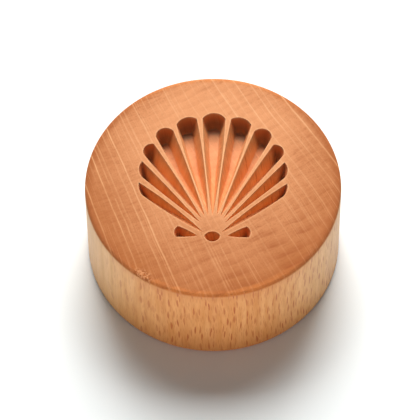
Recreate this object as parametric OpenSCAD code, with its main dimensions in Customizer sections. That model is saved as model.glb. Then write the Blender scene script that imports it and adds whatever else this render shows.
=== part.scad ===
// Cookie stamp: a turned disc of end-grain beech with a scallop shell carved into its face.
// The disc stands on its plain face, with the carved face up. The origin is at the middle of
// the plain face, +Z points out of the carved face and the shell opens toward +Y.
// Every wall of the carving slopes alike, as one tapered cutter leaves it.

/* [Disc] */
// Diameter of the turned disc
disc_d = 60; // [54:1:90]
// Thickness of the disc
disc_t = 26.4; // [16:0.2:45]
// Round-over along the rim of the carved face
rim_r = 1; // [0.3:0.1:3]
// Round-over along the edge of the resting face
foot_r = 0.6; // [0.2:0.1:3]

/* [Cutter] */
// Depth of the flat flute floors below the face
carve_depth = 5; // [3:0.1:7]
// Slope of every carved wall, in degrees from upright
wall_slope = 15; // [8:1:20]
// Width of the flat along the bottom of a narrow groove, at the centre of its round end
tip_flat = 0.45; // [0.2:0.05:0.7]

/* [Fan of flutes] */
// Distance of the point where the flutes meet, before the middle of the disc
hinge_y = 13; // [10:0.5:14]
// Direction of each flute from the middle line, from the middle flute outward
flute_angle = [0, 12, 23.5, 34, 44, 51.5]; // [0:0.5:60]
// How far each flute's line meets the middle line above the hinge
flute_rise = [0, 0, 0.3, 0.1, -0.2, -1.6]; // [-3:0.1:3]
// Distance from there to the inner tip of each flute, where its sides meet
flute_tip = [4.6, 4.6, 4.3, 4.2, 3.8, 2.4]; // [2:0.1:8]
// Distance from there to the centre of each flute's round end
flute_reach = [29.8, 29, 28.4, 26.3, 22.2, 19.4]; // [12:0.1:32]
// Half width of each flute at that centre
flute_half = [2.65, 2.45, 2.2, 1.75, 1.4, 1.15]; // [0.8:0.05:3]
// Belly of each flute's long sides, the height of their arcs
flute_belly = [0.4, 0.38, 0.25, 0.2, 0.1, 0.35]; // [0.05:0.05:0.6]
// Shift of each round end toward the middle of the shell
end_shift = [0, 0.3, 0, 0.35, 2.1, 2.8]; // [0:0.1:4]
// Radius of each round end, as a share of the flute's width there
end_fullness = [1.17, 1.2, 1.06, 1.02, 1.01, 1.01]; // [1:0.01:1.6]

/* [Ears and pip] */
// Distance of each ear's tip from the middle line
ear_x = 3.4; // [3:0.1:6]
// How far the ears' tips lie below the hinge
ear_drop = 0.8; // [0:0.1:1.5]
// Direction of each ear from the middle line, in degrees
ear_angle = 77; // [70:1:85]
// Distance from an ear's tip to the centre of its round end
ear_reach = 3.65; // [2:0.05:4]
// Half width of an ear at that centre
ear_half = 1.2; // [0.7:0.05:1.5]
// Width of the pip between the ears
pip_w = 3.8; // [2:0.1:5]
// Radius of the flatter arc that closes the pip toward the fan
pip_top_r = 2.1; // [1.9:0.1:4]
// Height of the pip, along the middle line
pip_h = 2.7; // [1.8:0.1:3.4]
// How far the pip's wide arc is centred below the hinge
pip_drop = 0.4; // [0:0.1:1]
// Depth of the pip
pip_depth = 3.4; // [1.5:0.1:4]

/* [Hidden] */
// How far each cutter stands out of the face, so that it cuts clean
over = 1;
// Belly and end radius of an ear, in the flutes' terms
ear_belly = 0.08;
ear_fullness = 1.5;
ear_shift = 0.1;
// How far past the meeting of a groove's sides its floor leaves the face, as a cutter's tip is blunt
blunt = 0.15;
// Facets of the small round ends and of the long flat sides
end_fn = 96;
side_fn = 1440;
// Sideways growth of a wall for each millimetre of height
draft = tan(wall_slope);
flutes = len(flute_angle) - 1;

// A round cutter of radius r at the face, with sloping walls down to depth h
module cutter(r, h) {
  translate([0, 0, -h])
    cylinder(h = h + over, r1 = r - h * draft, r2 = r + over * draft);
}

// One long side, an arc from the tip to the end centre that swells outward by belly
module long_side(tip, reach, half, belly) {
  run = reach - tip;
  chord = norm([run, half]);
  r = chord * chord / (8 * belly) + belly / 2;
  back = r - belly;
  translate([half / 2 - back * run / chord, (tip + reach) / 2 + back * half / chord, 0])
    cutter(r, carve_depth, $fn = side_fn);
}

// The bottom of a groove climbs from the full depth to the face where the walls close in
module groove_floor(tip, reach, half) {
  deep = (half - tip_flat / 2) / draft;
  start = tip + blunt;
  climb = atan2(deep, reach - start);
  long = 2 * reach;
  translate([0, start, 0])
    rotate([-climb, 0, 0])
      translate([-long / 2, -long, 0])
        cube([long, 3 * long, long]);
}

// One drafted groove along +Y: two long sides, a round end and a climbing floor.
// Its end is shifted by shift along -X
module groove(tip, reach, half, belly, shift, fullness) {
  end_r = fullness * (half + shift);
  intersection() {
    long_side(tip, reach, half, belly);
    mirror([1, 0, 0])
      long_side(tip, reach, half, belly);
    groove_floor(tip, reach, half);
    union() {
      translate([-shift, reach, 0])
        cutter(end_r, carve_depth, $fn = end_fn);
      translate([-reach, 0, -carve_depth])
        cube([2 * reach, reach, carve_depth + over]);
    }
  }
}

// One flute, laid out from its own point on the middle line
module flute(i) {
  translate([0, flute_rise[i], 0])
    rotate([0, 0, -flute_angle[i]])
      groove(flute_tip[i], flute_reach[i], flute_half[i], flute_belly[i], end_shift[i], end_fullness[i]);
}

// The fan: the middle flute, and its neighbours in mirrored pairs
module fan() {
  flute(0);
  for (i = [1 : flutes]) {
    flute(i);
    mirror([1, 0, 0])
      flute(i);
  }
}

// One ear, a short groove that starts at its tip
module ear() {
  translate([ear_x, -ear_drop, 0])
    rotate([0, 0, -ear_angle])
      groove(0, ear_reach, ear_half, ear_belly, ear_shift, ear_fullness);
}

// The pip: a deep round pocket closed by a flatter arc toward the fan
module pip() {
  low_r = pip_w / 2;
  top_y = pip_h - low_r - pip_top_r;
  translate([0, -pip_drop, 0])
    intersection() {
      cutter(low_r, pip_depth, $fn = end_fn);
      translate([0, top_y, 0])
        cutter(pip_top_r, pip_depth, $fn = end_fn);
    }
}

// The whole shell, cut downward from the face at z = 0
module shell() {
  translate([0, -hinge_y, 0]) {
    fan();
    ear();
    mirror([1, 0, 0])
      ear();
    pip();
  }
}

// Half section of the turned disc, with both edges rounded
module disc_section() {
  r = disc_d / 2;
  union() {
    translate([0, foot_r])
      square([r, disc_t - foot_r - rim_r]);
    square([r - foot_r, foot_r + rim_r]);
    translate([0, disc_t - 2 * rim_r])
      square([r - rim_r, 2 * rim_r]);
    translate([r - foot_r, foot_r])
      circle(foot_r);
    translate([r - rim_r, disc_t - rim_r])
      circle(rim_r);
  }
}

// The stamp: one piece of wood, turned and then carved
module stamp() {
  color("#e0a577")
    difference() {
      rotate_extrude($fn = 180)
        disc_section($fn = 48);
      translate([0, 0, disc_t])
        shell();
    }
}

stamp();
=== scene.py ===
import math

import bmesh
import bpy
from mathutils import Matrix, Vector
from mathutils.geometry import delaunay_2d_cdt


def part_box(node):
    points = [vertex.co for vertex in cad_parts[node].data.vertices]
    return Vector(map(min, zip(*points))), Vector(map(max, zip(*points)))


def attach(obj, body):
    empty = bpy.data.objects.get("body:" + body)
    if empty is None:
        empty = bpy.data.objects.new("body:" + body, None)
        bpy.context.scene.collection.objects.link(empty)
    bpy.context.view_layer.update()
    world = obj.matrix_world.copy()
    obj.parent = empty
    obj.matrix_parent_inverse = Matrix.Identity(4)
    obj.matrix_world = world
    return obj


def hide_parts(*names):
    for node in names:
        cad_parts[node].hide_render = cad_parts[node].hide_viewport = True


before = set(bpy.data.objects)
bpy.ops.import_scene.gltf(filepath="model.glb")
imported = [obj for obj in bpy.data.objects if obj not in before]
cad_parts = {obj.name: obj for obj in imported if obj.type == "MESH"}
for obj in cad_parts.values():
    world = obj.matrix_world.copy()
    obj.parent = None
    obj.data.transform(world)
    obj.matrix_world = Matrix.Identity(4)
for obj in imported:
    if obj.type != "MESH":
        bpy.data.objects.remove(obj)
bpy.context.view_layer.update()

MM = 0.001

# Sizes of the disc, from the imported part
disc_low, disc_high = (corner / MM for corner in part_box("stamp"))
disc_r = disc_high.x
face_z = disc_high.z
rim_r = 1.0
foot_r = 0.6

# Sizes of the carving, the same as in the part's source
carve_depth = 5.0
draft = math.tan(math.radians(15))
tip_flat = 0.45
hinge_y = -13.0
flute_angle = [0, 12, 23.5, 34, 44, 51.5]
flute_rise = [0, 0, 0.3, 0.1, -0.2, -1.6]
flute_tip = [4.6, 4.6, 4.3, 4.2, 3.8, 2.4]
flute_reach = [29.8, 29, 28.4, 26.3, 22.2, 19.4]
flute_half = [2.65, 2.45, 2.2, 1.75, 1.4, 1.15]
flute_belly = [0.4, 0.38, 0.25, 0.2, 0.1, 0.35]
end_shift = [0, 0.3, 0, 0.35, 2.1, 2.8]
end_fullness = [1.17, 1.2, 1.06, 1.02, 1.01, 1.01]
ear_x, ear_drop, ear_angle, ear_reach = 3.4, 0.8, 77.0, 3.65
ear_half, ear_belly, ear_shift, ear_fullness = 1.2, 0.08, 0.1, 1.5
pip_w, pip_top_r, pip_h, pip_drop, pip_depth = 3.8, 2.1, 2.7, 0.4, 3.4
blunt = 0.15

# Softened edges that sanding leaves at the face, and the cutter's rounded corner at the floor
arris_r = 0.08
corner_r = 0.3
support = 0.035

# Fineness of the meshes
side_steps = 46
end_steps = 16
wall_steps = 4
bend_steps = 4
floor_steps = 4
disc_steps = 288
face_pitch = 1.3
# Points closer than this are one point
twin = 0.00005

# How far a bend of the drafted wall reaches along the face, for each millimetre of its radius
wall_angle = math.radians(90) - math.atan(draft)
bend_reach = math.tan(wall_angle / 2)


def circles_meet(a, a_r, b, b_r, way):
    """The crossing of two circles that lies farther along way."""
    apart = b - a
    span = apart.length
    along = (a_r * a_r - b_r * b_r + span * span) / (2 * span)
    away = math.sqrt(a_r * a_r - along * along)
    foot = a + apart * (along / span)
    across = Vector((-apart.y, apart.x)) * (away / span)
    return max((foot + across, foot - across), key=way.dot)


class Groove:
    """A drafted groove along +Y with two bellied sides, a round end and a climbing bottom."""

    def __init__(self, tip, reach, half, belly, shift, fullness, place):
        run = reach - tip
        chord = math.hypot(run, half)
        self.side_r = chord * chord / (8 * belly) + belly / 2
        back = self.side_r - belly
        self.side_at = Vector((half / 2 - back * run / chord, (tip + reach) / 2 + back * half / chord))
        self.end_at = Vector((-shift, reach))
        self.end_r = fullness * (half + shift)
        self.start = tip + blunt
        self.climb = (half - tip_flat / 2) / draft / (reach - self.start)
        self.reach = reach
        self.place = place
        self.steps = side_steps + end_steps
        self.deepest = 0.0
        while self.deepest < carve_depth and self.room(side_steps, self.deepest) > 0.06:
            self.deepest += 0.02

    def side_centre(self, side):
        return Vector((side * self.side_at.x, self.side_at.y))

    def rim(self, side, i, inset):
        """Station i of the outline drawn in by inset, on the right (side 1) or left (side -1)."""
        corners = [
            circles_meet(self.side_centre(s), self.side_r - inset, self.end_at, self.end_r - inset, Vector((0, 1)))
            for s in (side, -side)
        ]
        if i <= side_steps:
            y = self.start + (corners[0].y - self.start) * i / side_steps
            bulge = math.sqrt((self.side_r - inset) ** 2 - (y - self.side_at.y) ** 2)
            return Vector((side * (self.side_at.x + bulge), y))
        turns = [math.atan2(c.y - self.end_at.y, c.x - self.end_at.x) for c in corners]
        turn = turns[0] + (turns[1] - turns[0]) / 2 * (i - side_steps) / end_steps
        return self.end_at + Vector((math.cos(turn), math.sin(turn))) * (self.end_r - inset)

    def room(self, i, deep):
        """Half width that the sloping walls leave at this depth below station i."""
        return min(s * self.rim(s, min(i, side_steps), deep * draft).x for s in (1, -1))

    def corner(self, i, deep):
        """Radius of the rounded corner along the floor, smaller where the walls close in."""
        return min(corner_r, 0.6 * deep, max(0.0, 0.6 * self.room(i, deep) / bend_reach))

    def depth(self, side, i):
        """Depth of the bottom below station i, where the wall runs into it."""
        deep = 0.0
        for _ in range(24):
            foot = self.rim(side, i, deep * draft + self.corner(i, deep) * bend_reach)
            deep = (deep + min(carve_depth, self.deepest, max(0.0, self.climb * (foot.y - self.start)))) / 2
        return deep

    def end_shade_at(self, spot, deep):
        """How much painted shade a spot of the groove gets at this depth: the round end wall, which faces away from the
        soft box, and the floor beside it.
        """
        gap = self.end_r - deep * draft - (spot - self.end_at).length
        near_end = min(1.0, max(0.0, min((spot.y - self.reach + 0.8) / 1.8, 1.4 - gap / 1.2)))
        return near_end * near_end * (3 - 2 * near_end)

    def near(self, point, gap):
        """True where a point of the groove's own frame lies in its outline or closer than gap."""
        x, y = point
        inside = all((Vector((x, y)) - self.side_centre(s)).length < self.side_r + gap for s in (1, -1))
        ended = y < self.reach or (Vector((x, y)) - self.end_at).length < self.end_r + gap
        return inside and ended and y > self.start - gap


class Pip:
    """The round pocket between the ears, closed by a flatter arc toward the fan."""

    def __init__(self, place):
        self.low_r = pip_w / 2
        self.top_at = Vector((0, pip_h - self.low_r - pip_top_r))
        self.place = place
        self.steps = 2 * end_steps

    def rim(self, side, i, inset):
        corner = circles_meet(
            Vector((0, 0)), self.low_r - inset, self.top_at, pip_top_r - inset, Vector((1, 0))
        )
        if i <= end_steps:
            first, last = -math.pi / 2, math.atan2(corner.y, corner.x)
            turn = first + (last - first) * i / end_steps
            centre, r = Vector((0, 0)), self.low_r - inset
        else:
            first, last = math.atan2(corner.y - self.top_at.y, corner.x), math.pi / 2
            turn = first + (last - first) * (i - end_steps) / end_steps
            centre, r = self.top_at, pip_top_r - inset
        x, y = centre + Vector((math.cos(turn), math.sin(turn))) * r
        return Vector((side * x, y))

    def corner(self, i, deep):
        return corner_r

    def depth(self, side, i):
        return pip_depth

    def end_shade_at(self, spot, deep):
        # A little painted shade all over the pip
        return 0.2

    def near(self, point, gap):
        return Vector(point).length < self.low_r + gap


def wall_profile(deep, low_r):
    """From the face down a wall to the floor: pairs of inset from the outline and depth."""
    top_r = min(arris_r, 0.6 * deep)
    points = [(-top_r * bend_reach - min(support, deep), 0.0)]
    for k in range(bend_steps + 1):
        bend = wall_angle * k / bend_steps
        points.append((top_r * (math.sin(bend) - bend_reach), top_r * (1 - math.cos(bend))))
    last = deep - low_r * (1 - math.cos(wall_angle))
    first = points[-1][1]
    for k in range(1, wall_steps):
        d = first + (last - first) * k / wall_steps
        points.append((d * draft, d))
    foot = deep * draft + low_r * bend_reach
    for k in range(bend_steps, -1, -1):
        bend = wall_angle * k / bend_steps
        points.append((foot - low_r * math.sin(bend), deep - low_r * (1 - math.cos(bend))))
    return points


class Solid:
    """Gathers the points and faces of one mesh, in millimetres."""

    def __init__(self):
        self.points = []
        self.painted_end_shade = []
        self.faces = []

    def point(self, x, y, z, painted_end_shade=0.0):
        self.points.append((x, y, z))
        self.painted_end_shade.append(painted_end_shade)
        return len(self.points) - 1

    def strip(self, one, other, flip=False):
        """Quads between two rows of points."""
        for k in range(len(one) - 1):
            quad = [one[k], one[k + 1], other[k + 1], other[k]]
            self.faces.append(quad[::-1] if flip else quad)

    def make(self, name):
        mesh = bpy.data.meshes.new(name)
        mesh.from_pydata([Vector(p) * MM for p in self.points], [], self.faces)
        # Each point carries its share of painted shade as an attribute
        mesh.attributes.new("painted_end_shade", "FLOAT", "POINT").data.foreach_set("value", self.painted_end_shade)
        work = bmesh.new()
        work.from_mesh(mesh)
        bmesh.ops.remove_doubles(work, verts=work.verts, dist=twin * MM)
        bmesh.ops.recalc_face_normals(work, faces=work.faces)
        work.to_mesh(mesh)
        work.free()
        mesh.shade_smooth()
        thing = bpy.data.objects.new(name, mesh)
        bpy.context.scene.collection.objects.link(thing)
        return thing


def carve_pocket(solid, pocket):
    """Adds a pocket's walls and floor, and gives its outline on the face."""
    rows = {}
    for side in (1, -1):
        rows[side] = []
        for i in range(pocket.steps + 1):
            column = []
            deep = pocket.depth(side, i)
            for inset, d in wall_profile(deep, pocket.corner(i, deep)):
                spot = pocket.rim(side, i, inset)
                x, y, _ = pocket.place @ spot.to_3d()
                column.append(solid.point(x, y, face_z - d, pocket.end_shade_at(spot, d)))
            rows[side].append(column)
        for i in range(pocket.steps):
            solid.strip(rows[side][i], rows[side][i + 1], flip=side < 0)
    floor = []
    for right, left in zip(rows[1], rows[-1]):
        a, b = Vector(solid.points[right[-1]]), Vector(solid.points[left[-1]])
        # The floor takes the painted shade of its wall's foot
        end_shade = solid.painted_end_shade[right[-1]]
        shares = [k / floor_steps if (a - b).length > 0.02 else 0.5 for k in range(1, floor_steps)]
        inner = [solid.point(*a.lerp(b, share), end_shade) for share in shares]
        floor.append([right[-1], *inner, left[-1]])
    for i in range(pocket.steps):
        solid.strip(floor[i], floor[i + 1])
    loop = [column[0] for column in rows[1]] + [column[0] for column in rows[-1][::-1]]
    if face_z - solid.points[floor[0][0]][2] < twin:
        loop += floor[0][-2:0:-1]
    return [solid.points[k][:2] for k in loop]


def without_twins(loop):
    """The loop without points that fall on the one before."""
    kept = []
    for p in loop:
        if not kept or (Vector(p) - Vector(kept[-1])).length > twin:
            kept.append(p)
    if (Vector(kept[0]) - Vector(kept[-1])).length < twin:
        kept.pop()
    return kept


def fill_face(solid, ring, loops, pockets):
    """Fills the flat face between the disc's edge and the outlines of the pockets."""
    flat, edges, owner, ccw = [], [], [], []
    for number, loop in enumerate([ring] + [without_twins(loop) for loop in loops]):
        first = len(flat)
        ccw.append(sum(p[0] * q[1] - p[1] * q[0] for p, q in zip(loop, loop[1:] + loop[:1])) > 0)
        flat += [Vector(p) for p in loop]
        edges += [(first + k, first + (k + 1) % len(loop)) for k in range(len(loop))]
        owner += [number] * len(loop)
    backs = [(pocket, pocket.place.inverted()) for pocket in pockets]
    rows = int(disc_r / (face_pitch * math.sqrt(0.75))) + 1
    for row in range(-rows, rows + 1):
        for column in range(-rows - 2, rows + 3):
            p = Vector(((column + row % 2 / 2) * face_pitch, row * face_pitch * math.sqrt(0.75)))
            if p.length > disc_r - rim_r - face_pitch:
                continue
            if not any(pocket.near((back @ p.to_3d()).xy, face_pitch / 2) for pocket, back in backs):
                flat.append(p)
                owner.append(-1)
    spots, _, triangles, sources, _, _ = delaunay_2d_cdt(flat, edges, [], 0, 1e-6)
    numbers = [solid.point(p.x, p.y, face_z) for p in spots]
    for triangle in triangles:
        a, b, c = (sources[k][0] for k in triangle)
        one_pocket = owner[a] == owner[b] == owner[c] > 0
        onward = a < b < c or b < c < a or c < a < b
        if not one_pocket or onward != ccw[owner[a]]:
            solid.faces.append([numbers[k] for k in triangle])


def turn_disc(solid):
    """Adds the turned outside of the disc, from the face's edge to the middle of the foot."""
    half = [(disc_r - rim_r - 0.15, face_z)]
    for k in range(9):
        bend = math.radians(90) * k / 8
        half.append((disc_r - rim_r * (1 - math.sin(bend)), face_z - rim_r * (1 - math.cos(bend))))
    rows = 22
    for k in range(1, rows):
        half.append((disc_r, face_z - rim_r + (foot_r + rim_r - face_z) * k / rows))
    for k in range(7):
        bend = math.radians(90) * k / 6
        half.append((disc_r - foot_r * (1 - math.cos(bend)), foot_r * (1 - math.sin(bend))))
    half += [(disc_r - foot_r - 0.2, 0.0)] + [(disc_r * (1 - k / 12), 0.0) for k in range(1, 12)]
    rings = []
    for r, z in half:
        ring = []
        for k in range(disc_steps):
            turn = 2 * math.pi * k / disc_steps
            ring.append(solid.point(r * math.cos(turn), r * math.sin(turn), z))
        rings.append(ring + ring[:1])
    for upper, lower in zip(rings, rings[1:]):
        solid.strip(upper, lower)
    middle = solid.point(0, 0, 0)
    solid.faces += [[rings[-1][k], middle, rings[-1][k + 1]] for k in range(disc_steps)]
    return [solid.points[k][:2] for k in rings[0][:-1]]


def flute_pockets():
    """The eleven flutes, the two ears and the pip, each in its place on the face."""
    hinge = Matrix.Translation((0, hinge_y, 0))
    mirrored = Matrix.Diagonal((-1, 1, 1, 1))
    pockets = []
    for i, angle in enumerate(flute_angle):
        place = Matrix.Translation((0, flute_rise[i], 0)) @ Matrix.Rotation(math.radians(-angle), 4, "Z")
        for hand in [Matrix()] + [mirrored] * (i > 0):
            pockets.append(Groove(
                flute_tip[i], flute_reach[i], flute_half[i], flute_belly[i],
                end_shift[i], end_fullness[i], hinge @ hand @ place,
            ))
    ear = Matrix.Translation((ear_x, -ear_drop, 0)) @ Matrix.Rotation(math.radians(-ear_angle), 4, "Z")
    for hand in (Matrix(), mirrored):
        pockets.append(Groove(0, ear_reach, ear_half, ear_belly, ear_shift, ear_fullness, hinge @ hand @ ear))
    pockets.append(Pip(hinge @ Matrix.Translation((0, -pip_drop, 0))))
    return pockets


def carved_stamp():
    """The whole stamp as one closed skin."""
    solid = Solid()
    pockets = flute_pockets()
    loops = [carve_pocket(solid, pocket) for pocket in pockets]
    ring = turn_disc(solid)
    fill_face(solid, ring, loops, pockets)
    return solid.make("carved_stamp")


def paint(code):
    """An sRGB hex colour as the linear colour that a shader takes."""
    parts = [int(code[k : k + 2], 16) / 255 for k in (1, 3, 5)]
    return [p / 12.92 if p <= 0.04045 else ((p + 0.055) / 1.055) ** 2.4 for p in parts] + [1.0]


def add(tree, kind, inputs=(), **settings):
    """Adds one node with its settings. An input is a value, a socket, or a node's first output."""
    node = tree.nodes.new(kind)
    for name, value in settings.items():
        setattr(node, name, value)
    for socket, value in dict(inputs).items():
        if isinstance(value, bpy.types.Node):
            value = value.outputs[0]
        if isinstance(value, bpy.types.NodeSocket):
            tree.links.new(value, node.inputs[socket])
        else:
            node.inputs[socket].default_value = value
    return node


def new_material(name):
    material = bpy.data.materials.new(name)
    material.use_nodes = True
    material.node_tree.nodes.clear()
    return material, material.node_tree


# The tree's pith lies far behind the disc, so the rays fan out slightly and the rings are flat arcs
pith = Vector((-98.0, 192.0))
# Long rays that stand out on the face: distance across the grain from the disc's middle, and
# strength at the front and at the back
long_rays = [
    (-28.2, 1.0, 1.0), (-24.2, 0.85, 0.85), (-21.7, 0.5, 0.6), (-19.4, 1.2, 0.5), (-17.6, 1.5, 1.1),
    (-12.8, 0.75, 0.55), (-11.3, 0.35, 0.4), (-8.2, 0.85, 0.8), (-3.8, 0.45, 0.35), (1.2, 0.35, 0.5),
    (2.9, 0.4, 0.2), (6.0, 0.35, 0.4), (8.6, 0.3, 0.2), (12.2, 0.45, 0.4), (14.5, 0.45, 0.95),
    (16.9, 0.35, 0.3), (19.2, 0.45, 0.9), (22.4, 0.25, 0.75), (23.8, 0.45, 0.5), (27.3, 0.9, 1.0),
]
# Rings farther from the pith than this are the wide ones
wide_rings = 232.1
# The place of a small patch of torn grain on the face, and its turn
torn_at = (-15.8, -24.4)
torn_turn = math.radians(30)


def ray_flecks(tree, across, up, width, spacing, height, rise, seed):
    """Wood rays as upright lens-shaped sheets: where they are, from 0 to 1.
    width and height are a sheet's half sizes, spacing and rise the room for each sheet."""
    spot = add(tree, "ShaderNodeCombineXYZ", {
        0: add(tree, "ShaderNodeMath", {0: across, 1: 1 / spacing}, operation="MULTIPLY"),
        1: add(tree, "ShaderNodeMath", {0: up, 1: 1 / rise, 2: seed}, operation="MULTIPLY_ADD"),
    })
    cell = add(tree, "ShaderNodeTexVoronoi", {"Vector": spot, "Scale": 1.0}, voronoi_dimensions="2D")
    gap = add(tree, "ShaderNodeVectorMath", {0: spot, 1: cell.outputs["Position"]}, operation="SUBTRACT")
    gap = add(tree, "ShaderNodeSeparateXYZ", {0: gap})
    beside = add(tree, "ShaderNodeMath", {0: gap.outputs[0]}, operation="ABSOLUTE")
    beside = add(tree, "ShaderNodeMath", {0: beside, 1: spacing}, operation="MULTIPLY")
    above = add(tree, "ShaderNodeMath", {0: gap.outputs[1], 1: rise / height}, operation="MULTIPLY")
    above = add(tree, "ShaderNodeMath", {0: above, 1: 2.0}, operation="POWER")
    lens = add(tree, "ShaderNodeMath", {0: above, 1: -width, 2: width}, operation="MULTIPLY_ADD")
    inside = add(tree, "ShaderNodeMath", {0: lens, 1: beside}, operation="SUBTRACT")
    edge = add(tree, "ShaderNodeMapRange", {"Value": inside, "From Min": -0.15 * width, "From Max": 0.35 * width})
    tone = add(tree, "ShaderNodeSeparateColor", {0: cell.outputs["Color"]})
    tone = add(tree, "ShaderNodeMapRange", {"Value": tone.outputs[0], "To Min": 0.35, "To Max": 1.0})
    return add(tree, "ShaderNodeMath", {0: edge, 1: tone}, operation="MULTIPLY")


def torn_patch(tree, spot):
    """The small patch near the front edge where the grain tore, from 1 where
    a pale curl of fibres stands up to -1 where it left a dark dent."""
    apart = add(tree, "ShaderNodeVectorMath", {0: spot, 1: (torn_at[0], torn_at[1], face_z)}, operation="SUBTRACT")
    apart = add(tree, "ShaderNodeVectorRotate", {"Vector": apart, "Angle": torn_turn}, rotation_type="Z_AXIS")
    apart = add(tree, "ShaderNodeVectorMath", {0: apart, 1: (0.55, 1, 1)}, operation="MULTIPLY")
    apart = add(tree, "ShaderNodeVectorMath", {0: apart}, operation="LENGTH")
    patch = add(tree, "ShaderNodeMapRange", {"Value": apart.outputs["Value"], "From Min": 1.6, "From Max": 0.7})
    curls = add(tree, "ShaderNodeTexNoise", {"Vector": spot, "Scale": 1 / 0.7, "Detail": 1.0, "Distortion": 1.5})
    curls = add(tree, "ShaderNodeMapRange", {
        "Value": curls, "From Min": 0.4, "From Max": 0.6, "To Min": -1.0, "To Max": 1.0,
    })
    return add(tree, "ShaderNodeMath", {0: patch, 1: curls}, operation="MULTIPLY")


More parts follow.
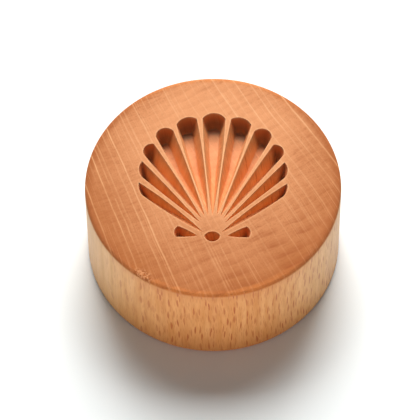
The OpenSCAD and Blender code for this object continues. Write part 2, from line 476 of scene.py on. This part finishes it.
def oiled_beech():
    """Beech, turned and sanded, thinly oiled. The oil makes the open end grain deep orange and
    matt, and leaves the closed sides paler, with a satin sheen. Rays are pale lines across the
    face and dark flecks on the sides."""
    material, tree = new_material("oiled_beech")
    where = add(tree, "ShaderNodeTexCoord")
    spot = add(tree, "ShaderNodeVectorMath", {0: where.outputs["Object"], "Scale": 1 / MM}, operation="SCALE")
    xyz = add(tree, "ShaderNodeSeparateXYZ", {0: spot})
    up = xyz.outputs[2]
    facing = add(tree, "ShaderNodeSeparateXYZ", {0: where.outputs["Normal"]})

    # Grain directions: rings grow outward from the pith and rays run straight away from it
    from_pith = add(tree, "ShaderNodeVectorMath", {0: spot, 1: (pith.x, pith.y, 0)}, operation="SUBTRACT")
    flat = add(tree, "ShaderNodeVectorMath", {0: from_pith, 1: (1, 1, 0)}, operation="MULTIPLY")
    ring_r = add(tree, "ShaderNodeVectorMath", {0: flat}, operation="LENGTH").outputs["Value"]
    outward = add(tree, "ShaderNodeVectorMath", {0: flat}, operation="NORMALIZE")
    arms = add(tree, "ShaderNodeSeparateXYZ", {0: flat})
    below = add(tree, "ShaderNodeMath", {0: arms.outputs[1], 1: -1.0}, operation="MULTIPLY")
    turn = add(tree, "ShaderNodeMath", {0: arms.outputs[0], 1: below}, operation="ARCTAN2")
    middle = math.atan2(-pith.x, pith.y)
    turn = add(tree, "ShaderNodeMath", {0: turn, 1: middle}, operation="SUBTRACT")
    across = add(tree, "ShaderNodeMath", {0: turn, 1: pith.length}, operation="MULTIPLY")
    wander = add(tree, "ShaderNodeTexNoise", {"Vector": spot, "Scale": 1 / 16, "Detail": 4.0, "Roughness": 0.4})
    sway = add(tree, "ShaderNodeMath", {0: wander, 1: 1.6, 2: -0.8}, operation="MULTIPLY_ADD")
    across = add(tree, "ShaderNodeMath", {0: across, 1: sway})

    # How squarely the surface cuts the fibres, and how squarely it cuts the rays
    end_grain = add(tree, "ShaderNodeMath", {0: facing.outputs[2]}, operation="ABSOLUTE")
    end_grain = add(tree, "ShaderNodeMapRange", {"Value": end_grain, "From Min": 0.15, "From Max": 0.6})
    ray_ends = add(tree, "ShaderNodeVectorMath", {0: where.outputs["Normal"], 1: outward}, operation="DOT_PRODUCT")
    ray_ends = add(tree, "ShaderNodeMath", {0: ray_ends.outputs["Value"]}, operation="ABSOLUTE")
    ray_ends = add(tree, "ShaderNodeMapRange", {"Value": ray_ends, "From Min": 0.1, "From Max": 0.8})

    # The end grain is darker toward the rim, and darker still toward the front: toward the front this is painted shade,
    # for light that falls off from the back of the face to its front
    level = add(tree, "ShaderNodeVectorMath", {0: spot, 1: (1, 1, 0)}, operation="MULTIPLY")
    radius = add(tree, "ShaderNodeVectorMath", {0: level}, operation="LENGTH").outputs["Value"]
    level = add(tree, "ShaderNodeVectorMath", {
        0: level, 1: (1.12, 0.95, 0), 2: (0, -10, 0),
    }, operation="MULTIPLY_ADD")
    level = add(tree, "ShaderNodeVectorMath", {0: level}, operation="LENGTH").outputs["Value"]
    cloud = add(tree, "ShaderNodeTexNoise", {"Vector": spot, "Scale": 1 / 12, "Detail": 3.0})
    level = add(tree, "ShaderNodeMath", {0: cloud, 1: 12.0, 2: level}, operation="MULTIPLY_ADD")
    rim_and_front_dark = add(tree, "ShaderNodeMapRange", {"Value": level, "From Min": 20.0, "From Max": 45.5})

    # Inside the carving, on the rounded edge of the face, along the carved edges, at the grooves' painted shade, and
    # toward the side's foot and top edge
    within = add(tree, "ShaderNodeMapRange", {"Value": radius, "From Min": disc_r - 0.5, "From Max": disc_r - 1.5})
    sunk = add(tree, "ShaderNodeMapRange", {"Value": up, "From Min": face_z - 0.003, "From Max": face_z - 0.03})
    carved = add(tree, "ShaderNodeMath", {0: sunk, 1: within}, operation="MULTIPLY")
    uneven = add(tree, "ShaderNodeTexNoise", {"Vector": spot, "Scale": 1 / 1.5, "Detail": 3.0})
    uneven = add(tree, "ShaderNodeMath", {0: uneven, 1: 1.2, 2: radius}, operation="MULTIPLY_ADD")
    uneven = add(tree, "ShaderNodeMath", {0: uneven, 1: 0.6}, operation="SUBTRACT")
    sideways = add(tree, "ShaderNodeMath", {0: xyz.outputs[0]}, operation="ABSOLUTE")
    # Toward the left and right of the face
    toward_sides = add(tree, "ShaderNodeMapRange", {"Value": sideways, "From Min": 9.0, "From Max": 22.0})
    uneven = add(tree, "ShaderNodeMath", {0: toward_sides, 1: 0.6, 2: uneven}, operation="MULTIPLY_ADD")
    rounded = add(tree, "ShaderNodeMapRange", {
        "Value": uneven, "From Min": disc_r - rim_r - 0.7, "From Max": disc_r - 0.2 * rim_r,
    })
    # Pale along the edges of the carving: partly wear from sanding, partly a painted highlight where the rounded edges
    # catch the light
    wear_and_highlight = add(tree, "ShaderNodeAmbientOcclusion", {"Distance": 0.5 * MM}, samples=8, inside=True, only_local=True)
    wear_and_highlight = add(tree, "ShaderNodeMapRange", {"Value": wear_and_highlight.outputs["AO"], "From Min": 0.95, "From Max": 0.55})
    level_edge = add(tree, "ShaderNodeMapRange", {
        "Value": up, "From Min": face_z - 0.5, "From Max": face_z - 0.15,
    })
    wear_and_highlight = add(tree, "ShaderNodeMath", {0: wear_and_highlight, 1: level_edge}, operation="MULTIPLY")
    wear_and_highlight = add(tree, "ShaderNodeMath", {0: wear_and_highlight, 1: within}, operation="MULTIPLY")
    painted_end_shade = add(tree, "ShaderNodeAttribute", attribute_name="painted_end_shade").outputs["Fac"]
    toward_foot = add(tree, "ShaderNodeMapRange", {"Value": up, "From Min": 12.0, "From Max": 1.0})
    toward_top = add(tree, "ShaderNodeMapRange", {"Value": up, "From Min": face_z - 3.5, "From Max": face_z - 1.0})
    foot_and_top = add(tree, "ShaderNodeMath", {0: toward_foot, 1: toward_top})

    # Rays of two sizes, and the few long ones that cross the whole face
    broad = ray_flecks(tree, across, up, 0.18, 1.5, 2.0, 4.6, 0.0)
    fine = ray_flecks(tree, across, up, 0.08, 0.65, 1.2, 2.8, 7.3)
    lines = None
    farther = add(tree, "ShaderNodeMapRange", {
        "Value": ring_r, "From Min": pith.length + 4.0, "From Max": pith.length - 10.0,
    })
    for at, strength, back_strength in long_rays:
        gap = add(tree, "ShaderNodeMath", {0: across, 1: at}, operation="SUBTRACT")
        gap = add(tree, "ShaderNodeMath", {0: gap}, operation="ABSOLUTE")
        strength = add(tree, "ShaderNodeMapRange", {
            "Value": farther, "To Min": strength, "To Max": back_strength,
        })
        line = add(tree, "ShaderNodeMapRange", {
            "Value": gap, "From Min": 0.28, "From Max": 0.04, "To Max": strength,
        })
        lines = add(tree, "ShaderNodeMath", {0: line, 1: lines}, operation="ADD") if lines else line
    fade = add(tree, "ShaderNodeTexNoise", {"Vector": spot, "Scale": 1 / 5, "Detail": 4.0, "Roughness": 0.6})
    fade = add(tree, "ShaderNodeMapRange", {"Value": fade, "From Min": 0.38, "From Max": 0.62, "To Min": 0.15})
    steady = add(tree, "ShaderNodeMath", {0: fade, 1: 0.5, 2: 0.5}, operation="MULTIPLY_ADD")
    lines = add(tree, "ShaderNodeMath", {0: lines, 1: steady}, operation="MULTIPLY")
    weaker = add(tree, "ShaderNodeMapRange", {
        "Value": xyz.outputs[1], "From Min": -14.0, "From Max": -4.0, "To Min": 0.55, "To Max": 1.0,
    })
    lines = add(tree, "ShaderNodeMath", {0: lines, 1: weaker}, operation="MULTIPLY")
    pale = add(tree, "ShaderNodeMath", {0: broad, 1: 0.42}, operation="MULTIPLY")
    pale = add(tree, "ShaderNodeMath", {0: fine, 1: 0.42, 2: pale}, operation="MULTIPLY_ADD")
    pale = add(tree, "ShaderNodeMath", {0: pale, 1: fade, 2: lines}, operation="MULTIPLY_ADD")

    # Growth rings, wider in the tree's last years. Each darkens slowly, ends at an edge and
    # sags a little between one ray and the next
    drift = add(tree, "ShaderNodeTexNoise", {"Vector": spot, "Scale": 1 / 9, "Detail": 1.0})
    sag = add(tree, "ShaderNodeTexNoise", {
        "W": add(tree, "ShaderNodeMath", {0: across, 1: 1 / 2.2}, operation="MULTIPLY"), "Scale": 1.0, "Detail": 1.0,
    }, noise_dimensions="1D")
    ring_at = add(tree, "ShaderNodeMath", {0: drift, 1: 2.2, 2: ring_r}, operation="MULTIPLY_ADD")
    ring_at = add(tree, "ShaderNodeMath", {0: sag, 1: 1.0, 2: ring_at}, operation="MULTIPLY_ADD")
    narrow = add(tree, "ShaderNodeMath", {0: ring_at, 1: wide_rings}, operation="MINIMUM")
    narrow = add(tree, "ShaderNodeMath", {0: narrow, 1: 2.15}, operation="DIVIDE")
    wide = add(tree, "ShaderNodeMath", {0: ring_at, 1: wide_rings}, operation="MAXIMUM")
    wide = add(tree, "ShaderNodeMath", {0: wide, 1: wide_rings}, operation="SUBTRACT")
    wide = add(tree, "ShaderNodeMath", {0: wide, 1: 1 / 3.3, 2: narrow}, operation="MULTIPLY_ADD")
    ring = add(tree, "ShaderNodeMath", {0: wide}, operation="FRACT")
    ring = add(tree, "ShaderNodeValToRGB", {0: ring})
    ring.color_ramp.interpolation = "EASE"
    ring.color_ramp.elements[0].position = 0.2
    ring.color_ramp.elements[1].position = 0.85
    ring.color_ramp.elements.new(1.0).color = (0, 0, 0, 1)
    ring_share = add(tree, "ShaderNodeTexNoise", {"Vector": spot, "Scale": 1 / 6, "Detail": 3.0})
    ring_share = add(tree, "ShaderNodeMapRange", {
        "Value": ring_share, "From Min": 0.35, "From Max": 0.65, "To Min": 0.04, "To Max": 0.16,
    })
    late = add(tree, "ShaderNodeMapRange", {
        "Value": ring_at, "From Min": wide_rings - 4, "From Max": wide_rings + 4, "To Min": 1.0, "To Max": 3.1,
    })
    ring_share = add(tree, "ShaderNodeMath", {0: ring_share, 1: late}, operation="MULTIPLY")
    ring = add(tree, "ShaderNodeMath", {0: ring.outputs[0], 1: ring_share}, operation="MULTIPLY")

    # Short fine bands of pores lie along the rings
    band_at = add(tree, "ShaderNodeCombineXYZ", {
        0: add(tree, "ShaderNodeMath", {0: across, 1: 1 / 2.5}, operation="MULTIPLY"),
        1: add(tree, "ShaderNodeMath", {0: ring_r, 1: 1 / 0.6}, operation="MULTIPLY"),
    })
    bands = add(tree, "ShaderNodeTexNoise", {"Vector": band_at, "Scale": 1.0, "Detail": 2.0})
    bands = add(tree, "ShaderNodeMapRange", {"Value": bands, "From Min": 0.48, "From Max": 0.7})
    band_share = add(tree, "ShaderNodeMapRange", {
        "Value": cloud, "From Min": 0.4, "From Max": 0.6, "To Min": 0.12, "To Max": 0.36,
    })
    calm = add(tree, "ShaderNodeMapRange", {"Value": rim_and_front_dark, "From Max": 0.4, "To Min": 0.35, "To Max": 1.0})
    band_share = add(tree, "ShaderNodeMath", {0: band_share, 1: calm}, operation="MULTIPLY")
    ring = add(tree, "ShaderNodeMath", {0: bands, 1: band_share, 2: ring}, operation="MULTIPLY_ADD")
    on_ends = add(tree, "ShaderNodeMapRange", {"Value": end_grain, "To Min": 0.3, "To Max": 1.0})
    ring = add(tree, "ShaderNodeMath", {0: ring, 1: on_ends}, operation="MULTIPLY")

    # Pores are upright tubes: dots on the end grain, short streaks on the sides
    tubes = add(tree, "ShaderNodeVectorMath", {0: spot, 1: (1, 1, 0.1)}, operation="MULTIPLY")
    pores = add(tree, "ShaderNodeTexNoise", {"Vector": tubes, "Scale": 1 / 0.4, "Detail": 3.0, "Roughness": 0.65})
    streaks = add(tree, "ShaderNodeTexNoise", {"Vector": tubes, "Scale": 1 / 1.4, "Detail": 4.0})

    # Sides: tan with faint upright streaks. They are paler where they face left and right, partly the wood's figure and
    # partly painted sheen of grazing light, and darker orange toward the foot and the top edge
    streak_share = add(tree, "ShaderNodeMapRange", {"Value": streaks, "From Min": 0.3, "From Max": 0.7})
    side = add(tree, "ShaderNodeMix", {
        "Factor": streak_share, 6: paint("#d49a56"), 7: paint("#e2ae74"),
    }, data_type="RGBA")
    slab = add(tree, "ShaderNodeMix", {
        "Factor": streak_share, 6: paint("#cc8444"), 7: paint("#e0a064"),
    }, data_type="RGBA")
    front = add(tree, "ShaderNodeMath", {0: facing.outputs[1]}, operation="ABSOLUTE")
    front = add(tree, "ShaderNodeMapRange", {"Value": front, "From Min": 0.6, "From Max": 0.95})
    side = add(tree, "ShaderNodeMix", {
        "Factor": front, 6: side.outputs[2], 7: slab.outputs[2],
    }, data_type="RGBA")
    # Darker orange toward the foot and the top edge, most on the front: at the front foot this is painted shade, where
    # the floor before the stamp lies in its shadow
    foot_and_top_share = add(tree, "ShaderNodeMapRange", {"Value": front, "To Min": 0.15, "To Max": 0.6})
    foot_and_top_share = add(tree, "ShaderNodeMath", {0: foot_and_top, 1: foot_and_top_share}, operation="MULTIPLY")
    side = add(tree, "ShaderNodeMix", {
        "Factor": foot_and_top_share, 6: side.outputs[2], 7: paint("#c87c3a"),
    }, data_type="RGBA")
    wall_share = add(tree, "ShaderNodeMath", {0: carved, 1: 0.8}, operation="MULTIPLY")
    wall = add(tree, "ShaderNodeMix", {
        "Factor": streak_share, 6: paint("#f09a54"), 7: paint("#fcb876"),
    }, data_type="RGBA")
    side = add(tree, "ShaderNodeMix", {
        "Factor": wall_share, 6: side.outputs[2], 7: wall.outputs[2],
    }, data_type="RGBA")

    # End grain: the face, the deeper colour of the flute floors and the rounded edge
    # The face darkens by that mask: toward the rim, and toward the front as painted shade
    face = add(tree, "ShaderNodeMix", {
        "Factor": rim_and_front_dark, 6: paint("#df9463"), 7: paint("#ae602a"),
    }, data_type="RGBA")
    floor_share = add(tree, "ShaderNodeMath", {0: carved, 1: 0.8}, operation="MULTIPLY")
    face = add(tree, "ShaderNodeMix", {
        "Factor": floor_share, 6: face.outputs[2], 7: paint("#d28650"),
    }, data_type="RGBA")
    fuzzy = add(tree, "ShaderNodeVectorMath", {0: spot, 1: (0, hinge_y, face_z)}, operation="DISTANCE")
    fuzzy = add(tree, "ShaderNodeMapRange", {"Value": fuzzy.outputs["Value"], "From Min": 15.0, "From Max": 25.0})
    fuzzy = add(tree, "ShaderNodeMath", {0: fuzzy, 1: carved}, operation="MULTIPLY")
    fuzzy = add(tree, "ShaderNodeMath", {0: fuzzy, 1: 0.3}, operation="MULTIPLY")
    face = add(tree, "ShaderNodeMix", {
        "Factor": fuzzy, 6: face.outputs[2], 7: paint("#f4bc94"),
    }, data_type="RGBA")
    # The rounded edge is darker toward the left and right than at the front
    edge = add(tree, "ShaderNodeMix", {
        "Factor": toward_sides, 6: paint("#d87a38"), 7: paint("#aa5c2a"),
    }, data_type="RGBA")
    face = add(tree, "ShaderNodeMix", {
        "Factor": rounded, 6: face.outputs[2], 7: edge.outputs[2],
    }, data_type="RGBA")
    wood = add(tree, "ShaderNodeMix", {
        "Factor": end_grain, 6: side.outputs[2], 7: face.outputs[2],
    }, data_type="RGBA").outputs[2]

    wood = add(tree, "ShaderNodeMix", {"Factor": ring, 6: wood, 7: paint("#a04e1e")}, data_type="RGBA").outputs[2]
    pore_dark = add(tree, "ShaderNodeMapRange", {"Value": end_grain, "To Min": 0.25, "To Max": 0.5})
    pore_dark = add(tree, "ShaderNodeMapRange", {
        "Value": pores, "From Min": 0.5, "From Max": 0.75, "To Max": pore_dark,
    })
    pore_dark = add(tree, "ShaderNodeMath", {0: pore_dark, 1: calm}, operation="MULTIPLY")
    wood = add(tree, "ShaderNodeMix", {
        "Factor": pore_dark, 6: wood, 7: paint("#a05a28"),
    }, data_type="RGBA").outputs[2]

    # Rays are pale on the end grain, and dark on the sides that cut their ends
    pale = add(tree, "ShaderNodeMath", {0: pale, 1: end_grain}, operation="MULTIPLY")
    pale = add(tree, "ShaderNodeMath", {0: pale, 1: 0.62}, operation="MULTIPLY", use_clamp=True)
    # The rays darken by the same mask, so toward the front as painted shade
    ray = add(tree, "ShaderNodeMix", {
        "Factor": rim_and_front_dark, 6: paint("#f4b888"), 7: paint("#eaa46c"),
    }, data_type="RGBA")
    wood = add(tree, "ShaderNodeMix", {
        "Factor": pale, 6: wood, 7: ray.outputs[2],
    }, data_type="RGBA").outputs[2]
    dark = add(tree, "ShaderNodeMath", {0: fine, 1: 0.6, 2: broad}, operation="MULTIPLY_ADD")
    dark = add(tree, "ShaderNodeMath", {0: dark, 1: ray_ends}, operation="MULTIPLY")
    lengthways = add(tree, "ShaderNodeMath", {0: 1.0, 1: end_grain}, operation="SUBTRACT")
    dark = add(tree, "ShaderNodeMath", {0: dark, 1: lengthways}, operation="MULTIPLY")
    on_walls = add(tree, "ShaderNodeMapRange", {"Value": carved, "To Min": 1.0, "To Max": 0.8})
    dark = add(tree, "ShaderNodeMath", {0: dark, 1: on_walls}, operation="MULTIPLY")
    dark = add(tree, "ShaderNodeMath", {0: dark, 1: 0.76}, operation="MULTIPLY", use_clamp=True)
    wood = add(tree, "ShaderNodeMix", {"Factor": dark, 6: wood, 7: paint("#a8440e")}, data_type="RGBA").outputs[2]
    # Painted shade on the end walls of the grooves: orange at the top, dark brown toward the bottom, where the soft box
    # behind them does not reach
    end_shade_share = add(tree, "ShaderNodeMath", {0: painted_end_shade, 1: lengthways}, operation="MULTIPLY")
    end_shade_share = add(tree, "ShaderNodeMath", {0: end_shade_share, 1: 0.9}, operation="MULTIPLY")
    lower = add(tree, "ShaderNodeMapRange", {"Value": up, "From Min": face_z - 0.5, "From Max": face_z - 3.0})
    end_shade = add(tree, "ShaderNodeMix", {
        "Factor": lower, 6: paint("#fc7a14"), 7: paint("#84451e"),
    }, data_type="RGBA")
    wood = add(tree, "ShaderNodeMix", {
        "Factor": end_shade_share, 6: wood, 7: end_shade.outputs[2],
    }, data_type="RGBA").outputs[2]
    # Grey-brown on the floor beside the end walls: partly torn fibres, partly painted shadow that the end wall casts on
    # the floor
    fluff_and_shadow = add(tree, "ShaderNodeMath", {0: painted_end_shade, 1: end_grain}, operation="MULTIPLY")
    fluff_and_shadow = add(tree, "ShaderNodeMath", {0: fluff_and_shadow, 1: carved}, operation="MULTIPLY")
    fluff_and_shadow = add(tree, "ShaderNodeMath", {0: fluff_and_shadow, 1: 0.7}, operation="MULTIPLY")
    wood = add(tree, "ShaderNodeMix", {"Factor": fluff_and_shadow, 6: wood, 7: paint("#9c7c66")}, data_type="RGBA").outputs[2]
    # Pale carved edges: partly sanding wear, partly painted highlight
    wear_and_highlight_share = add(tree, "ShaderNodeMath", {0: wear_and_highlight, 1: 0.8}, operation="MULTIPLY")
    wood = add(tree, "ShaderNodeMix", {"Factor": wear_and_highlight_share, 6: wood, 7: paint("#f8b884")}, data_type="RGBA").outputs[2]
    torn = torn_patch(tree, spot)
    curl = add(tree, "ShaderNodeMath", {0: torn, 1: 0.5}, operation="MULTIPLY", use_clamp=True)
    wood = add(tree, "ShaderNodeMix", {"Factor": curl, 6: wood, 7: paint("#f0a874")}, data_type="RGBA").outputs[2]
    dent = add(tree, "ShaderNodeMath", {0: torn, 1: -0.5}, operation="MULTIPLY", use_clamp=True)
    wood = add(tree, "ShaderNodeMix", {"Factor": dent, 6: wood, 7: paint("#8c4418")}, data_type="RGBA").outputs[2]

    rough_grain = add(tree, "ShaderNodeMath", {0: torn, 1: 3.0, 2: pores}, operation="MULTIPLY_ADD")
    bump = add(tree, "ShaderNodeBump", {"Height": rough_grain, "Strength": 0.5, "Distance": 0.03 * MM})
    matt = add(tree, "ShaderNodeMath", {0: end_grain, 1: within}, operation="MAXIMUM")
    dull = add(tree, "ShaderNodeMapRange", {"Value": matt, "To Min": 0.44, "To Max": 0.88})
    shader = add(tree, "ShaderNodeBsdfPrincipled", {
        "Base Color": wood, "Roughness": dull, "IOR": 1.45, "Normal": bump,
    })
    add(tree, "ShaderNodeOutputMaterial", {"Surface": shader})
    return material


def white_paper():
    """Matt white paper sweep. Near the stamp it keeps the shadow, and far off it is plain white
    to the camera and to anything glossy."""
    material, tree = new_material("white_paper")
    where = add(tree, "ShaderNodeTexCoord")
    away = add(tree, "ShaderNodeVectorMath", {0: where.outputs["Object"]}, operation="LENGTH")
    far = add(tree, "ShaderNodeMapRange", {
        "Value": away.outputs["Value"], "From Min": 0.1, "From Max": 0.2,
    })
    path = add(tree, "ShaderNodeLightPath")
    seen = add(tree, "ShaderNodeMath", {
        0: path.outputs["Is Camera Ray"], 1: path.outputs["Is Glossy Ray"],
    }, operation="MAXIMUM")
    seen = add(tree, "ShaderNodeMath", {0: seen, 1: path.outputs["Is Transmission Ray"]}, operation="MAXIMUM")
    share = add(tree, "ShaderNodeMath", {0: far, 1: seen}, operation="MULTIPLY")
    paper = add(tree, "ShaderNodeBsdfDiffuse", {"Color": paint("#fbfbfb")})
    glow = add(tree, "ShaderNodeEmission", {"Color": paint("#ffffff"), "Strength": 1.0})
    mixed = add(tree, "ShaderNodeMixShader", {0: share, 1: paper, 2: glow})
    add(tree, "ShaderNodeOutputMaterial", {"Surface": mixed})
    return material


def lay_floor():
    solid = Solid()
    reach = 3000
    solid.faces.append([solid.point(x, y, 0) for x, y in ((-reach, -reach), (reach, -reach), (reach, reach), (-reach, reach))])
    floor = solid.make("floor")
    floor.data.materials.append(white_paper())


def area_lamp(name, at, toward, width, height, watts, tint):
    """A flat soft lamp at one point that looks toward another."""
    data = bpy.data.lights.new(name, "AREA")
    data.shape = "RECTANGLE"
    data.size = width * MM
    data.size_y = height * MM
    data.energy = watts
    data.color = tint
    lamp = bpy.data.objects.new(name, data)
    lamp.location = Vector(at) * MM
    lamp.rotation_mode = "QUATERNION"
    lamp.rotation_quaternion = (Vector(at) - Vector(toward)).to_track_quat("Z", "Y")
    lamp.visible_camera = False
    bpy.context.scene.collection.objects.link(lamp)


key_height = 50
key_away = 1200
key_width = 744
key_depth = 780


def light_stage():
    """One large soft box behind the stamp, a weak wide card before it, and a pale room."""
    face = Vector((0, 0, face_z))
    high = math.radians(key_height)
    at = face + Vector((0, math.cos(high), math.sin(high))) * key_away
    area_lamp("key", at, face, key_width, key_depth, 22.8, (1.0, 1.03, 1.02))
    area_lamp("card", (0, -700, 50), (0, 0, 10), 500, 60, 1.6, (1.0, 0.93, 0.86))
    area_lamp("table", (0, -200, 1), (0, -200, 100), 500, 300, 0.42, (1.0, 1.0, 1.0))
    world = bpy.data.worlds.new("room")
    bpy.context.scene.world = world
    world.use_nodes = True
    tree = world.node_tree
    tree.nodes.clear()
    path = add(tree, "ShaderNodeLightPath")
    seen = add(tree, "ShaderNodeMath", {
        0: path.outputs["Is Camera Ray"], 1: path.outputs["Is Glossy Ray"],
    }, operation="MAXIMUM")
    seen = add(tree, "ShaderNodeMath", {0: seen, 1: path.outputs["Is Transmission Ray"]}, operation="MAXIMUM")
    strength = add(tree, "ShaderNodeMapRange", {"Value": seen, "To Min": 0.12, "To Max": 1.0})
    glow = add(tree, "ShaderNodeBackground", {"Color": (0.86, 1.07, 1.12, 1.0), "Strength": strength})
    add(tree, "ShaderNodeOutputWorld", {"Surface": glow})


# The photograph's camera: a long lens from the front, looking steeply down. The stamp is turned
# a little clockwise there, so the camera stands that much to its right.
lens_mm = 300
camera_distance = 840.4
camera_height = math.radians(59.586)
camera_side = math.radians(1.15)
aim_up = math.radians(0.525)
aim_side = math.radians(-0.053)
camera_roll = math.radians(-0.584)


def set_camera():
    data = bpy.data.cameras.new("camera")
    data.lens = lens_mm
    data.sensor_width = 36
    data.clip_start = 0.05
    data.clip_end = 20
    camera = bpy.data.objects.new("camera", data)
    bpy.context.scene.collection.objects.link(camera)
    bpy.context.scene.camera = camera
    back = Vector((
        math.sin(camera_side) * math.cos(camera_height),
        -math.cos(camera_side) * math.cos(camera_height),
        math.sin(camera_height),
    ))
    right = Vector((0, 0, 1)).cross(back).normalized()
    up = back.cross(right)
    ahead = (-back + math.tan(aim_side) * right + math.tan(aim_up) * up).normalized()
    right = ahead.cross(Vector((0, 0, 1))).normalized()
    up = right.cross(ahead)
    c, s = math.cos(camera_roll), math.sin(camera_roll)
    right, up = c * right + s * up, c * up - s * right
    turned = Matrix((right, up, -ahead)).transposed().to_4x4()
    camera.matrix_world = Matrix.Translation(back * camera_distance * MM) @ turned


stamp = carved_stamp()
stamp.data.materials.append(oiled_beech())
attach(stamp, "root")
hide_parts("stamp")

lay_floor()
light_stage()
set_camera()
bpy.context.scene.view_settings.view_transform = "Standard"
